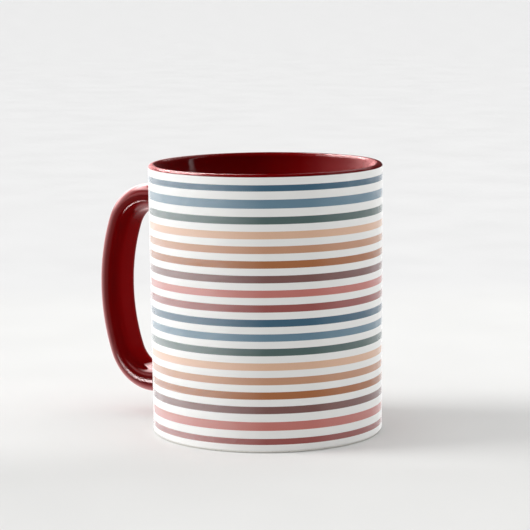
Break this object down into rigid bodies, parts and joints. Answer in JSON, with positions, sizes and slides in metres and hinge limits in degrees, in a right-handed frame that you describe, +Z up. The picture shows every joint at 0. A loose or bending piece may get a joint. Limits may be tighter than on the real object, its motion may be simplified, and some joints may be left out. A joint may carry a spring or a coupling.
{
  "type": "ceramic mug",
  "caption": "Straight-sided stoneware mug with a maroon strap handle, maroon glazed inside and lip, and a glossy white outside with thin horizontal stripes in muted colours.",
  "frame": {"origin": "on the cup's axis, in the plane of the foot ring that rests on the table", "axes": "+Z up along the cup's axis, the handle points along -X, so Y runs across the handle"},
  "size_m": [0.1143, 0.0826, 0.0953],
  "materials": {
    "clay": "matte",
    "white_glaze": "gloss",
    "maroon_glaze": "gloss",
    "navy_ink": "gloss",
    "steel_blue_ink": "gloss",
    "dark_green_ink": "gloss",
    "peach_ink": "gloss",
    "tan_ink": "gloss",
    "rust_ink": "gloss",
    "mauve_ink": "gloss",
    "dusty_rose_ink": "gloss",
    "deep_rose_ink": "gloss"
  },
  "bodies": {
    "root": {"cup_body": "clay", "inner_glaze": "maroon_glaze", "outer_glaze": "white_glaze", "foot_well_glaze": "white_glaze", "handle_body": "clay", "upper_handle_joint": "clay", "lower_handle_joint": "clay", "handle_glaze": "maroon_glaze", "upper_navy_stripe": "navy_ink", "upper_steel_blue_stripe": "steel_blue_ink", "upper_dark_green_stripe": "dark_green_ink", "upper_peach_stripe": "peach_ink", "upper_tan_stripe": "tan_ink", "upper_rust_stripe": "rust_ink", "upper_mauve_stripe": "mauve_ink", "upper_dusty_rose_stripe": "dusty_rose_ink", "upper_deep_rose_stripe": "deep_rose_ink", "lower_navy_stripe": "navy_ink", "lower_steel_blue_stripe": "steel_blue_ink", "lower_dark_green_stripe": "dark_green_ink", "lower_peach_stripe": "peach_ink", "lower_tan_stripe": "tan_ink", "lower_rust_stripe": "rust_ink", "lower_mauve_stripe": "mauve_ink", "lower_dusty_rose_stripe": "dusty_rose_ink", "lower_deep_rose_stripe": "deep_rose_ink"}
  },
  "joints": []
}
